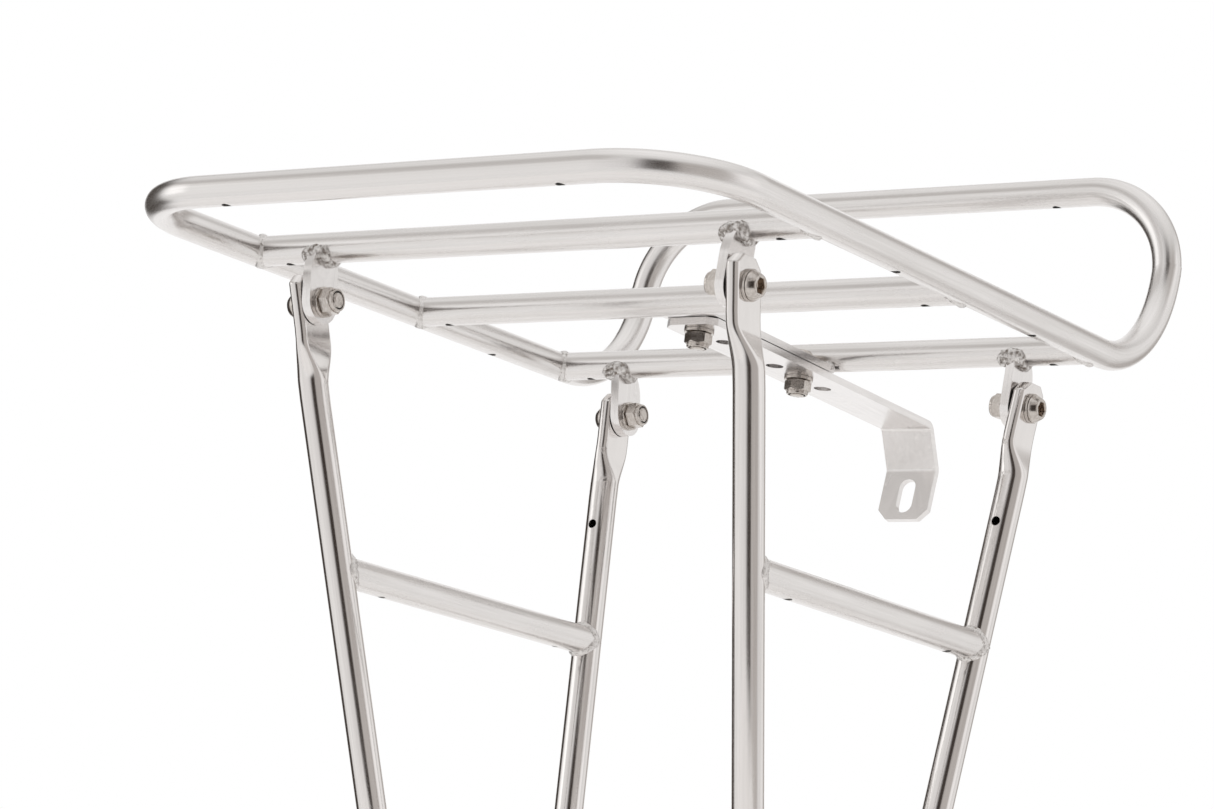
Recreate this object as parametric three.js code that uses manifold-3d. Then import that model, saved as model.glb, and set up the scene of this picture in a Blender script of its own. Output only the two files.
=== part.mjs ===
// Tubular stainless-steel luggage rack for a bicycle.
// A bent loop tube makes the platform and the upright hoop at its forward end. Three cross rails
// are welded between its sides. Two leg frames bolt to welded tabs, and a drilled flat strap
// bolts under a short tongue bar and reaches forward to the bicycle frame.
// Millimetres, +Z up, +Y forward on the bicycle, +X to the right. The origin lies midway between
// the two foot eyelets that the rack hangs on.
import * as THREE from 'three';
import { mergeVertices } from 'three/addons/utils/BufferGeometryUtils.js';
import Module from 'manifold-3d';

const wasm = await Module();
wasm.setup();

// ---- driving dimensions ----------------------------------------------------------------------
const GAP = 0.3; // clearance left between separate pieces
const TUBE_R = 5;
const WALL = 1.2;
const BORE_R = TUBE_R - WALL;
const VENT_R = 1.5; // drilled holes that let welding gas out of the closed tubes

const WIDTH = 214; // between the centre lines of the side tubes
const RAIL_Y = { rear: 71.7, middle: 159.5, front: 246.2 }; // measured forward from the rear bar
const REAR_BEND = 34;
const HOOP_FOOT_BEND = 44;
const HOOP_TOP_BEND = 32;
const HOOP_FOOT_Y = 290.9;
const HOOP_Y = 297.7; // the hoop leans forward by the difference
const HOOP_RISE = 68.5;
const REAR_VENT_X = 62;
const RAIL_VENT_X = 93;
const HOOP_VENT_X = 61;
const SIDE_VENT_Y = [116, 204]; // midway between the rails

const BOLT_DROP = 18.7; // leg bolts below the platform's centre line
const BOLT_Y = { rear: 69.9, front: 248.1 }; // in line with the legs, a little off their rails
const LEAN = 0.084; // radians that each bolted joint tips with its leg, lower end inwards
const TAB_OUTER_X = 79.8; // at bolt height
const PLATE_T = 3.2; // tab plate
const TAB_HALF_W = 7;
const LEG_END_T = 4.6; // across the pressed end of a leg
const LEG_END_HALF_W = 7.9;

// The upper and lower points of the leg centre lines; the lower ones are at eyelet height.
const KNEE_Z = -40;
const KNEE = { rear: { x: 83, y: 75.9 }, front: { x: 82.1, y: 245.2 } };
const EYELET_Z = -350;
const FOOT = { rear: { x: 56.4, y: 171.4 }, front: { x: 56.4, y: 203.7 } };
const LEG_END_Z = -322;
const LINK_Z = -100.9;
const LINK_VENT_Y = [118, 217.5];
const LEG_HOLE = { z: -59, radius: 1.6 }; // faces rearwards on the front legs
const EYELET_Y = 187;
const EYELET_R = 10;
const FOOT_PLATE_X = 59.2;
const FOOT_PLATE_T = 4;

const STRAP_W = 20;
const STRAP_T = 2.5;
const STRAP_TILT = 0.033; // radians, nose down
const STRAP_BOLT_Y = [172.5, 236.5];
const STRAP_BOTTOM_Z = -6.75; // at the first strap bolt
const HOLE_PITCH = 16;

const BOLT_R = 2.5; // M5
const BOLT_HOLE_R = 2.75;
const HEAD_R = 4.75;
const HEAD_FACE_R = 3.45; // the head tapers to this at its socket
const HEAD_H = 2.6;
const SOCKET_DEPTH = 1.8;
const SOCKET_AF = 4;
const NUT_AF = 8;
const NUT_H = 4.8;
const NUT_HEX_H = 3.5;
const WASHER_R = 5;
const WASHER_T = 0.8;
const BOLT_PAST = 0.4; // bolt end beyond its nut

// ---- materials -------------------------------------------------------------------------------
const steel = (color, roughness) =>
  new THREE.MeshStandardMaterial({ color, roughness, metalness: 1 });
const tubeSteel = () => steel(0xcfcbc6, 0.32);
const plateSteel = () => steel(0xc9c5c0, 0.36);
const boltSteel = () => steel(0xb7b0a8, 0.28);
const nylon = () => new THREE.MeshStandardMaterial({ color: 0x4a4744, roughness: 0.6, metalness: 0 });

// ---- solids ----------------------------------------------------------------------------------
function toSolid(geometry) {
  const bare = geometry.clone();
  bare.deleteAttribute('normal');
  bare.deleteAttribute('uv');
  const merged = mergeVertices(bare, 1e-4);
  return new wasm.Manifold(
    new wasm.Mesh({
      numProp: 3,
      vertProperties: new Float32Array(merged.attributes.position.array),
      triVerts: new Uint32Array(merged.index.array),
    }),
  );
}

function toGeometry(solid) {
  const mesh = solid.getMesh();
  const geometry = new THREE.BufferGeometry();
  const stride = mesh.numProp;
  const count = mesh.vertProperties.length / stride;
  const position = new Float32Array(count * 3);
  for (let i = 0; i < count; i += 1) {
    position.set(mesh.vertProperties.subarray(i * stride, i * stride + 3), i * 3);
  }
  geometry.setAttribute('position', new THREE.BufferAttribute(position, 3));
  geometry.setIndex(new THREE.BufferAttribute(new Uint32Array(mesh.triVerts), 1));
  geometry.computeVertexNormals();
  return geometry;
}

function cut(geometry, tools) {
  let solid = toSolid(geometry);
  for (const tool of tools) {
    solid = solid.subtract(toSolid(tool));
  }
  return toGeometry(solid);
}

// A cylinder between two points. Half a facet of turn puts a flat, not an edge, on each side.
function rod(from, to, radius, sides = 16) {
  const axis = new THREE.Vector3().subVectors(to, from);
  const geometry = new THREE.CylinderGeometry(radius, radius, axis.length(), sides, 1);
  geometry.rotateY(Math.PI / sides);
  const turn = new THREE.Quaternion().setFromUnitVectors(
    new THREE.Vector3(0, 1, 0),
    axis.clone().normalize(),
  );
  geometry.applyQuaternion(turn);
  const middle = new THREE.Vector3().addVectors(from, to).multiplyScalar(0.5);
  return geometry.translate(middle.x, middle.y, middle.z);
}

const vec = (x, y, z) => new THREE.Vector3(x, y, z);

// ---- bent tubes ------------------------------------------------------------------------------
// A path that an extrusion steps through knot by knot, so a straight run costs one step.
class KnotPath extends THREE.Curve {
  constructor(knots) {
    super();
    this.knots = knots;
  }
  getUtoTmapping(u) {
    return u;
  }
  getPoint(t) {
    return this.knots[Math.round(t * (this.knots.length - 1))].point.clone();
  }
  getTangent(t) {
    return this.knots[Math.round(t * (this.knots.length - 1))].tangent.clone();
  }
}

// Knots along a run of corners, each corner rounded to its own bend radius.
function bentKnots(corners, radii, stepsPerBend = 8) {
  const last = corners.length - 1;
  const heading = (i) => new THREE.Vector3().subVectors(corners[i + 1], corners[i]).normalize();
  const knots = [{ point: corners[0], tangent: heading(0) }];
  for (let i = 1; i < last; i += 1) {
    const before = heading(i - 1);
    const after = heading(i);
    const turn = before.angleTo(after);
    const reach = radii[i - 1] * Math.tan(turn / 2);
    const inward = after.clone().sub(before).normalize();
    const centre = corners[i].clone().addScaledVector(inward, Math.hypot(reach, radii[i - 1]));
    const axis = new THREE.Vector3().crossVectors(before, after).normalize();
    const start = corners[i].clone().addScaledVector(before, -reach).sub(centre);
    for (let k = 0; k <= stepsPerBend; k += 1) {
      const angle = (turn * k) / stepsPerBend;
      knots.push({
        point: start.clone().applyAxisAngle(axis, angle).add(centre),
        tangent: before.clone().applyAxisAngle(axis, angle),
      });
    }
  }
  knots.push({ point: corners[last], tangent: heading(last - 1) });
  return knots;
}

function circleShape(radius, sides) {
  const shape = new THREE.Shape();
  for (let i = 0; i < sides; i += 1) {
    const angle = (2 * Math.PI * (i + 0.5)) / sides;
    const x = radius * Math.cos(angle);
    const y = radius * Math.sin(angle);
    if (i === 0) {
      shape.moveTo(x, y);
    } else {
      shape.lineTo(x, y);
    }
  }
  return shape;
}

function sweptTube(knots, radius, sides) {
  return new THREE.ExtrudeGeometry(circleShape(radius, sides), {
    steps: knots.length - 1,
    extrudePath: new KnotPath(knots),
  });
}

// A short drill through the underside wall of a level tube, into its bore.
const ventDrill = (x, y, z = 0) =>
  rod(vec(x, y, z - TUBE_R - 1), vec(x, y, z - BORE_R + 1), VENT_R, 8);

// ---- platform --------------------------------------------------------------------------------
// The loop starts and ends at a butt weld in the middle of the hoop's top bar.
function loopCorners(seam) {
  const side = WIDTH / 2;
  return [
    vec(seam, HOOP_Y, HOOP_RISE),
    vec(side, HOOP_Y, HOOP_RISE),
    vec(side, HOOP_FOOT_Y, 0),
    vec(side, 0, 0),
    vec(-side, 0, 0),
    vec(-side, HOOP_FOOT_Y, 0),
    vec(-side, HOOP_Y, HOOP_RISE),
    vec(-seam, HOOP_Y, HOOP_RISE),
  ];
}

function loopTube() {
  const radii = [HOOP_TOP_BEND, HOOP_FOOT_BEND, REAR_BEND, REAR_BEND, HOOP_FOOT_BEND, HOOP_TOP_BEND];
  const outside = sweptTube(bentKnots(loopCorners(GAP / 2), radii), TUBE_R, 16);
  const bore = sweptTube(bentKnots(loopCorners(GAP / 3), radii), BORE_R, 12);
  const vents = [];
  for (const side of [-1, 1]) {
    vents.push(ventDrill(side * REAR_VENT_X, 0));
    vents.push(ventDrill(side * HOOP_VENT_X, HOOP_Y, HOOP_RISE));
    for (const y of SIDE_VENT_Y) {
      vents.push(ventDrill((side * WIDTH) / 2, y));
    }
  }
  return cut(outside, [bore, ...vents]);
}

// The ends of a rail are coped to sit round the side tubes.
function crossRail(y) {
  const side = WIDTH / 2;
  const cope = (x) => rod(vec(x, y - 12, 0), vec(x, y + 12, 0), TUBE_R + GAP, 24);
  return cut(rod(vec(-side, y, 0), vec(side, y, 0), TUBE_R), [
    cope(-side),
    cope(side),
    rod(vec(-side - 1, y, 0), vec(side + 1, y, 0), BORE_R, 12),
    ventDrill(-RAIL_VENT_X, y),
    ventDrill(RAIL_VENT_X, y),
  ]);
}

// ---- tabs ------------------------------------------------------------------------------------
// Drawn with the shape's x along +Y and its y along +Z, then turned so the thickness runs along X.
function plateInSidePlane(shape, thickness, nearX, curveSegments = 12) {
  const geometry = new THREE.ExtrudeGeometry(shape, {
    depth: thickness,
    bevelEnabled: false,
    curveSegments,
  });
  geometry.rotateY(Math.PI / 2);
  geometry.rotateX(Math.PI / 2);
  return geometry.translate(nearX, 0, 0);
}

// Measured from the bolt. The top jogs over to the rail, whose centre is off to one side.
function tabShape(jog) {
  const topHalfW = 5;
  const topZ = BOLT_DROP - 1.5;
  const kneeZ = BOLT_DROP - 6;
  const shoulderZ = BOLT_DROP - 11;
  const shape = new THREE.Shape();
  shape.moveTo(jog - topHalfW, topZ);
  shape.quadraticCurveTo(-TAB_HALF_W, kneeZ, -TAB_HALF_W, shoulderZ);
  shape.lineTo(-TAB_HALF_W, 0);
  shape.absarc(0, 0, TAB_HALF_W, Math.PI, 2 * Math.PI, false);
  shape.lineTo(TAB_HALF_W, shoulderZ);
  shape.quadraticCurveTo(TAB_HALF_W, kneeZ, jog + topHalfW, topZ);
  shape.closePath();
  const hole = new THREE.Path();
  hole.absarc(0, 0, BOLT_HOLE_R, 0, 2 * Math.PI, true);
  shape.holes.push(hole);
  return shape;
}

const boltPoint = (side, end) => vec(side * TAB_OUTER_X, BOLT_Y[end], -BOLT_DROP);
const boltOutward = (side) => vec(side * Math.cos(LEAN), 0, -Math.sin(LEAN));

// The tab leans about its bolt, and its top is coped to the rail it hangs from.
function tab(side, end) {
  const nearX = side > 0 ? -PLATE_T : 0;
  const plate = plateInSidePlane(tabShape(RAIL_Y[end] - BOLT_Y[end]), PLATE_T, nearX, 6);
  plate.rotateY(side * LEAN);
  const bolt = boltPoint(side, end);
  plate.translate(bolt.x, bolt.y, bolt.z);
  const y = RAIL_Y[end];
  return cut(plate, [rod(vec(bolt.x - 12, y, 0), vec(bolt.x + 12, y, 0), TUBE_R + GAP, 24)]);
}

// ---- leg frames ------------------------------------------------------------------------------
// A leg's centre line below its pressed end is straight from knee to foot.
function legPoint(side, end, z) {
  const t = (z - KNEE_Z) / (EYELET_Z - KNEE_Z);
  const x = THREE.MathUtils.lerp(KNEE[end].x, FOOT[end].x, t);
  return vec(side * x, THREE.MathUtils.lerp(KNEE[end].y, FOOT[end].y, t), z);
}

// Stations down a leg: height, half thickness and half width. The tip is rounded, the end is
// pressed flat past the bolt, and the section then swells back to the full round tube.
const PRESS_END_Z = -43.5;
const FLAT_END_Z = -31;
const TIP_Z = -10.7;
function legStations() {
  const flat = LEG_END_T / 2;
  const stations = [
    { z: TIP_Z, a: flat, b: 4.8 },
    { z: TIP_Z - 2.8, a: flat, b: LEG_END_HALF_W - 0.2 },
    { z: TIP_Z - 3.6, a: flat, b: LEG_END_HALF_W },
    { z: FLAT_END_Z, a: flat, b: LEG_END_HALF_W },
  ];
  const steps = 4;
  for (let i = 1; i <= steps; i += 1) {
    const t = THREE.MathUtils.smoothstep(i / steps, 0, 1);
    stations.push({
      z: THREE.MathUtils.lerp(FLAT_END_Z, PRESS_END_Z, i / steps),
      a: THREE.MathUtils.lerp(flat, TUBE_R, t),
      b: THREE.MathUtils.lerp(LEG_END_HALF_W, TUBE_R, t),
    });
  }
  stations.push({ z: LEG_END_Z, a: TUBE_R, b: TUBE_R });
  return stations;
}

// The pressed end lies flat against its tab, then eases over to the leg's own centre line.
function legCentre(side, end, z) {
  if (z <= PRESS_END_Z) {
    return legPoint(side, end, z);
  }
  const jointY = legPoint(side, end, PRESS_END_Z).y;
  const t = (z - PRESS_END_Z) / (-BOLT_DROP - PRESS_END_Z);
  const eased = THREE.MathUtils.clamp((z - PRESS_END_Z) / (FLAT_END_Z - PRESS_END_Z), 0, 1);
  const flatX = TAB_OUTER_X + GAP + LEG_END_T / 2 + (z + BOLT_DROP) * Math.tan(LEAN);
  const x = THREE.MathUtils.lerp(legPoint(side, end, z).x, side * flatX, eased);
  return vec(x, THREE.MathUtils.lerp(jointY, BOLT_Y[end], t), z);
}

// A leg is a cylinder whose rings are squeezed to each station's stadium-shaped section.
function pressedTube(side, end) {
  const stations = legStations();
  const sides = 16;
  const geometry = new THREE.CylinderGeometry(1, 1, 1, sides, stations.length - 1);
  geometry.rotateY(Math.PI / sides);
  const position = geometry.attributes.position;
  for (let i = 0; i < position.count; i += 1) {
    const row = Math.round((0.5 - position.getY(i)) * (stations.length - 1));
    const { z, a, b } = stations[row];
    const along = position.getX(i);
    const across = position.getZ(i);
    const centre = legCentre(side, end, z);
    const flatHalf = Math.abs(along) < 1e-6 ? 0 : Math.sign(along) * (b - a);
    position.setXYZ(i, centre.x + across * a, centre.y + flatHalf + along * a, z);
  }
  return geometry;
}

function leg(side, end) {
  const bolt = boltPoint(side, end);
  const reach = boltOutward(side).multiplyScalar(12);
  const slotTop = LEG_END_Z + 13;
  const slot = new THREE.BoxGeometry(FOOT_PLATE_T + 2 * GAP, 40, 40);
  slot.translate(side * FOOT_PLATE_X, FOOT[end].y, slotTop - 20);
  const tools = [
    rod(bolt.clone().sub(reach), bolt.clone().add(reach), BOLT_HOLE_R, 12),
    rod(legPoint(side, end, PRESS_END_Z - 6), legPoint(side, end, LEG_END_Z - 5), BORE_R, 12),
    slot,
  ];
  if (end === 'front') {
    const inside = legPoint(side, end, LEG_HOLE.z);
    tools.push(rod(inside, inside.clone().add(vec(0, -9, 0)), LEG_HOLE.radius, 10));
  }
  return cut(pressedTube(side, end), tools);
}

// The link tube is coped to the two legs it joins, and hangs pannier hooks.
function linkTube(side) {
  const rear = legPoint(side, 'rear', LINK_Z);
  const front = legPoint(side, 'front', LINK_Z);
  const legAt = (end) =>
    rod(legPoint(side, end, LINK_Z + 15), legPoint(side, end, LINK_Z - 15), TUBE_R + GAP, 24);
  const past = vec(0, 1, 0);
  return cut(rod(rear, front, TUBE_R), [
    legAt('rear'),
    legAt('front'),
    rod(rear.clone().sub(past), front.clone().add(past), BORE_R, 12),
    ...LINK_VENT_Y.map((y) => ventDrill(rear.x, y, LINK_Z)),
  ]);
}

// The point where a line from an outside point touches a circle; turn picks the side.
function tangentPoint(centre, radius, from, turn) {
  const away = new THREE.Vector2().subVectors(from, centre);
  const angle = away.angle() + turn * Math.acos(radius / away.length());
  return new THREE.Vector2(Math.cos(angle), Math.sin(angle)).multiplyScalar(radius).add(centre);
}

// A dropout plate: two ears slotted into the legs above, one eyelet below.
function footPlateShape() {
  const earTop = LEG_END_Z + 12;
  const valley = LEG_END_Z - 4;
  const half = TUBE_R;
  const y = (end, z) => legPoint(1, end, z).y;
  const eyelet = new THREE.Vector2(EYELET_Y, EYELET_Z);
  const rearHip = new THREE.Vector2(y('rear', valley) - half, valley);
  const frontHip = new THREE.Vector2(y('front', valley) + half, valley);
  const frontTouch = tangentPoint(eyelet, EYELET_R, frontHip, -1);
  const rearTouch = tangentPoint(eyelet, EYELET_R, rearHip, 1);
  const shape = new THREE.Shape();
  shape.moveTo(y('rear', earTop) - half, earTop);
  shape.lineTo(rearHip.x, rearHip.y);
  shape.lineTo(rearTouch.x, rearTouch.y);
  const startAngle = rearTouch.clone().sub(eyelet).angle();
  const endAngle = frontTouch.clone().sub(eyelet).angle();
  shape.absarc(eyelet.x, eyelet.y, EYELET_R, startAngle, endAngle, false);
  shape.lineTo(frontHip.x, frontHip.y);
  shape.lineTo(y('front', earTop) + half, earTop);
  shape.lineTo(y('front', earTop) - half, earTop);
  shape.lineTo(y('front', valley) - half, valley);
  shape.quadraticCurveTo(EYELET_Y, valley - 9, y('rear', valley) + half, valley);
  shape.lineTo(y('rear', earTop) + half, earTop);
  shape.closePath();
  const hole = new THREE.Path();
  hole.absarc(eyelet.x, eyelet.y, BOLT_HOLE_R, 0, 2 * Math.PI, true);
  shape.holes.push(hole);
  return shape;
}

function footPlate(side) {
  const nearX = side * FOOT_PLATE_X - FOOT_PLATE_T / 2;
  return plateInSidePlane(footPlateShape(), FOOT_PLATE_T, nearX, 6);
}

// ---- tongue bar and strap bracket ------------------------------------------------------------
// Both are built in the strap's own frame: y runs forward from the first strap bolt, and z = 0
// is the strap's underside there. strapFrame carries them, nose down, to the platform.
const strapFrame = new THREE.Group();
strapFrame.position.set(0, STRAP_BOLT_Y[0], STRAP_BOTTOM_Z);
strapFrame.rotation.x = -STRAP_TILT;

const BOLT_SPAN = STRAP_BOLT_Y[1] - STRAP_BOLT_Y[0];
const upright = (y, radius, from, to, sides = 12) => rod(vec(0, y, from), vec(0, y, to), radius, sides);

// The tongue is welded between the middle and the front rail, whose tubes trim its ends.
function tongueBar() {
  const low = STRAP_T + GAP;
  const start = RAIL_Y.middle - STRAP_BOLT_Y[0];
  const end = RAIL_Y.front - STRAP_BOLT_Y[0] - 3.5;
  const bar = new THREE.BoxGeometry(STRAP_W, end - start, STRAP_T);
  bar.translate(0, (start + end) / 2, low + STRAP_T / 2);
  const railTool = (y) => {
    const tool = rod(vec(-15, y, 0), vec(15, y, 0), TUBE_R + GAP, 24);
    strapFrame.updateMatrix();
    return tool.applyMatrix4(strapFrame.matrix.clone().invert());
  };
  return cut(bar, [
    railTool(RAIL_Y.middle),
    railTool(RAIL_Y.front),
    upright(0, BOLT_HOLE_R, 0, 9),
    upright(BOLT_SPAN, BOLT_HOLE_R, 0, 9),
  ]);
}

// The strap's side profile: flat run, a fold down, a panel, and a second fold to the slotted nose.
const STRAP_START = -7.3;
const FOLD = new THREE.Vector2(138.4, 0);
const NOSE = new THREE.Vector2(145.2, -13.8);
const NOSE_END = new THREE.Vector2(141.4, -32.4);

// One edge of the folded strip: the fold line moved out by an offset, with its folds rounded.
function foldedEdge(offset, bendRadius) {
  const corners = [new THREE.Vector2(STRAP_START, 0), FOLD, NOSE, NOSE_END];
  const normals = corners.slice(1).map((corner, i) => {
    const d = corner.clone().sub(corners[i]).normalize();
    return new THREE.Vector2(-d.y, d.x);
  });
  const edge = [corners[0].clone().addScaledVector(normals[0], offset)];
  for (let i = 1; i < 3; i += 1) {
    const bisector = normals[i - 1].clone().add(normals[i]).normalize();
    const turn = Math.acos(normals[i - 1].dot(normals[i]));
    const centre = corners[i].clone().addScaledVector(bisector, -bendRadius / Math.cos(turn / 2));
    const radius = bendRadius + offset;
    const startAngle = normals[i - 1].angle();
    for (let k = 0; k <= 3; k += 1) {
      const angle = startAngle - (turn * k) / 3;
      edge.push(new THREE.Vector2(Math.cos(angle), Math.sin(angle)).multiplyScalar(radius).add(centre));
    }
  }
  edge.push(corners[3].clone().addScaledVector(normals[2], offset));
  return edge;
}

function cornerCutter(x, y, z, size, turnX) {
  const half = size * Math.SQRT1_2;
  const tool = new THREE.BoxGeometry(2 * half, 2 * half, 12);
  tool.rotateZ(Math.PI / 4);
  tool.rotateX(turnX);
  return tool.translate(x, y, z);
}

// An elongated hole whose long way runs along the nose panel.
function slotCutter() {
  const length = 13;
  const radius = 3.25;
  const half = length / 2 - radius;
  const shape = new THREE.Shape();
  shape.absarc(0, half, radius, 0, Math.PI, false);
  shape.absarc(0, -half, radius, Math.PI, 2 * Math.PI, false);
  shape.closePath();
  const tool = new THREE.ExtrudeGeometry(shape, { depth: 14, bevelEnabled: false, curveSegments: 6 });
  tool.translate(0, 0, -7);
  tool.rotateX(Math.PI / 2);
  const run = NOSE.clone().sub(NOSE_END);
  tool.rotateX(Math.atan2(-run.x, run.y));
  const middle = NOSE.clone().lerp(NOSE_END, 0.52);
  return tool.translate(0, middle.x, middle.y);
}

function strapBracket() {
  const bendRadius = 2;
  const under = foldedEdge(0, bendRadius);
  const over = foldedEdge(STRAP_T, bendRadius);
  const shape = new THREE.Shape([...under, ...over.reverse()]);
  const strip = plateInSidePlane(shape, STRAP_W, -STRAP_W / 2);
  const holes = [];
  for (let i = 0; i <= 5; i += 1) {
    holes.push(upright(i * HOLE_PITCH, 3, -2, 5));
  }
  const half = STRAP_W / 2;
  const noseTurn = Math.atan2(NOSE_END.y - NOSE.y, NOSE_END.x - NOSE.x);
  const cutters = [
    cornerCutter(-half, STRAP_START, 1, 3 * Math.SQRT2, 0),
    cornerCutter(half, STRAP_START, 1, 3 * Math.SQRT2, 0),
    cornerCutter(-half, NOSE_END.x, NOSE_END.y, 3.6 * Math.SQRT2, noseTurn),
    cornerCutter(half, NOSE_END.x, NOSE_END.y, 3.6 * Math.SQRT2, noseTurn),
  ];
  return cut(strip, [...holes, ...cutters, slotCutter()]);
}

// ---- fasteners -------------------------------------------------------------------------------
// A fastener set is built along its own +Z, head up, with z = 0 on the clamped stack's head side.
const HEAD_BASE = WASHER_T + 2 * GAP;

function lathe(points, sides) {
  return new THREE.LatheGeometry(points.map(([r, z]) => new THREE.Vector2(r, z)), sides).rotateX(
    Math.PI / 2,
  );
}

function hexPrism(acrossFlats, from, to) {
  const prism = new THREE.CylinderGeometry(
    acrossFlats / Math.sqrt(3),
    acrossFlats / Math.sqrt(3),
    to - from,
    6,
  );
  return prism.rotateX(Math.PI / 2).translate(0, 0, (from + to) / 2);
}

function boltGeometry(grip) {
  const tip = -(grip + WASHER_T + 2 * GAP + NUT_H + BOLT_PAST);
  const profile = [
    [0, tip],
    [BOLT_R - 0.5, tip],
    [BOLT_R, tip + 0.5],
    [BOLT_R, HEAD_BASE],
    [HEAD_R, HEAD_BASE],
    [HEAD_R, HEAD_BASE + 0.4],
    [HEAD_FACE_R, HEAD_BASE + HEAD_H],
    [0, HEAD_BASE + HEAD_H],
  ];
  const top = HEAD_BASE + HEAD_H;
  return cut(lathe(profile, 12), [hexPrism(SOCKET_AF, top - SOCKET_DEPTH, top + 1)]);
}

function washerGeometry(from) {
  const ring = lathe(
    [
      [0, from],
      [WASHER_R, from],
      [WASHER_R, from + WASHER_T],
      [0, from + WASHER_T],
    ],
    14,
  );
  return cut(ring, [rod(vec(0, 0, from - 1), vec(0, 0, from + WASHER_T + 1), BOLT_HOLE_R, 10)]);
}

// The nut's collar is counterbored for the locking ring.
function nutGeometry(top) {
  const collar = rod(vec(0, 0, top - NUT_H), vec(0, 0, top - NUT_HEX_H + 0.5), 3.7, 14);
  const body = toSolid(hexPrism(NUT_AF, top - NUT_HEX_H, top)).add(toSolid(collar));
  return cut(toGeometry(body), [
    rod(vec(0, 0, top - NUT_H - 1), vec(0, 0, top + 1), BOLT_R + 0.15, 12),
    rod(vec(0, 0, top - NUT_H + 0.3), vec(0, 0, top - NUT_H + 1.7), 3.3, 12),
  ]);
}

function lockRingGeometry(top) {
  const low = top - NUT_H + 0.45;
  const ring = rod(vec(0, 0, low), vec(0, 0, low + 1.1), 3.15, 12);
  return cut(ring, [rod(vec(0, 0, low - 1), vec(0, 0, low + 2), BOLT_R + 0.1, 12)]);
}

function named(name, geometry, material) {
  const mesh = new THREE.Mesh(geometry, material);
  mesh.name = name;
  return mesh;
}

function fastenerSet(name, grip) {
  const set = new THREE.Group();
  const nutTop = -(grip + WASHER_T + 2 * GAP);
  set.add(named(`bolt_${name}`, boltGeometry(grip), boltSteel()));
  set.add(named(`head_washer_${name}`, washerGeometry(GAP), boltSteel()));
  set.add(named(`nut_washer_${name}`, washerGeometry(-grip - GAP - WASHER_T), boltSteel()));
  set.add(named(`lock_nut_${name}`, nutGeometry(nutTop), boltSteel()));
  set.add(named(`lock_ring_${name}`, lockRingGeometry(nutTop), nylon()));
  return set;
}

// ---- assembly --------------------------------------------------------------------------------
const SIDES = { left: -1, right: 1 };

const rack = new THREE.Group();
const platform = new THREE.Group();
platform.position.set(0, -EYELET_Y, -EYELET_Z);
rack.add(platform);

platform.add(named('loop_tube', loopTube(), tubeSteel()));
for (const [place, y] of Object.entries(RAIL_Y)) {
  platform.add(named(`cross_rail_${place}`, crossRail(y), tubeSteel()));
}

for (const [sideName, side] of Object.entries(SIDES)) {
  for (const end of ['rear', 'front']) {
    const place = `${end}_${sideName}`;
    platform.add(named(`tab_${place}`, tab(side, end), plateSteel()));
    platform.add(named(`leg_${place}`, leg(side, end), tubeSteel()));
    const set = fastenerSet(place, PLATE_T + GAP + LEG_END_T);
    set.rotation.y = side * (Math.PI / 2 + LEAN);
    set.position.copy(boltPoint(side, end)).addScaledVector(boltOutward(side), GAP + LEG_END_T);
    platform.add(set);
  }
  platform.add(named(`link_tube_${sideName}`, linkTube(side), tubeSteel()));
  platform.add(named(`foot_plate_${sideName}`, footPlate(side), plateSteel()));
}

strapFrame.add(named('tongue_bar', tongueBar(), plateSteel()));
strapFrame.add(named('strap_bracket', strapBracket(), plateSteel()));
for (const [place, y] of Object.entries({ strap_rear: 0, strap_front: BOLT_SPAN })) {
  const set = fastenerSet(place, 2 * STRAP_T + GAP);
  set.position.set(0, y, 2 * STRAP_T + GAP);
  strapFrame.add(set);
}
platform.add(strapFrame);

export default rack;
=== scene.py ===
import itertools
import math

import bmesh
import bpy
from mathutils import Matrix, Vector, noise


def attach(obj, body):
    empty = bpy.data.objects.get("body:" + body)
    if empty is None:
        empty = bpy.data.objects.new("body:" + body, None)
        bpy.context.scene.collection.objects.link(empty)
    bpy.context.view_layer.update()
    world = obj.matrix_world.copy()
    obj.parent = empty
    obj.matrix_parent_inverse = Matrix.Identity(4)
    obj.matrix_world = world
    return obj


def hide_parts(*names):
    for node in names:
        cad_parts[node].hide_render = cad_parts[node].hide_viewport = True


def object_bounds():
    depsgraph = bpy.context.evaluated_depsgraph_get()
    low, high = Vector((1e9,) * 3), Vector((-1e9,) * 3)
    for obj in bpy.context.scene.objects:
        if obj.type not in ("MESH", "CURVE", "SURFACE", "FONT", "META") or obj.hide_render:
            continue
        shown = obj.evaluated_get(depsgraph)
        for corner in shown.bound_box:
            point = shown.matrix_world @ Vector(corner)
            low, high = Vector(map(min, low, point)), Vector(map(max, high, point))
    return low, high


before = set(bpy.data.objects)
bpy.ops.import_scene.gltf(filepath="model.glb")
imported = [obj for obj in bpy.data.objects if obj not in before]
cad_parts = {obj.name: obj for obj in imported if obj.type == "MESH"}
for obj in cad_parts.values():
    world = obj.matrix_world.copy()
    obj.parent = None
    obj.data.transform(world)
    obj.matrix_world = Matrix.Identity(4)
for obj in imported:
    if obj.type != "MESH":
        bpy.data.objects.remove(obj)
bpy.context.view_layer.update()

# ---- dimensions, as in the CAD ----
ROW_ORIGIN = Vector((0.0, -187.0, 350.0))
MM = 0.001
SIDES = {"left": -1.0, "right": 1.0}
ENDS = ("rear", "front")
# The CAD's gap between pieces that touch, and the closer fits that are drawn here.
GAP = 0.3
FIT = 0.05
SEAT = 0.03

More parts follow.
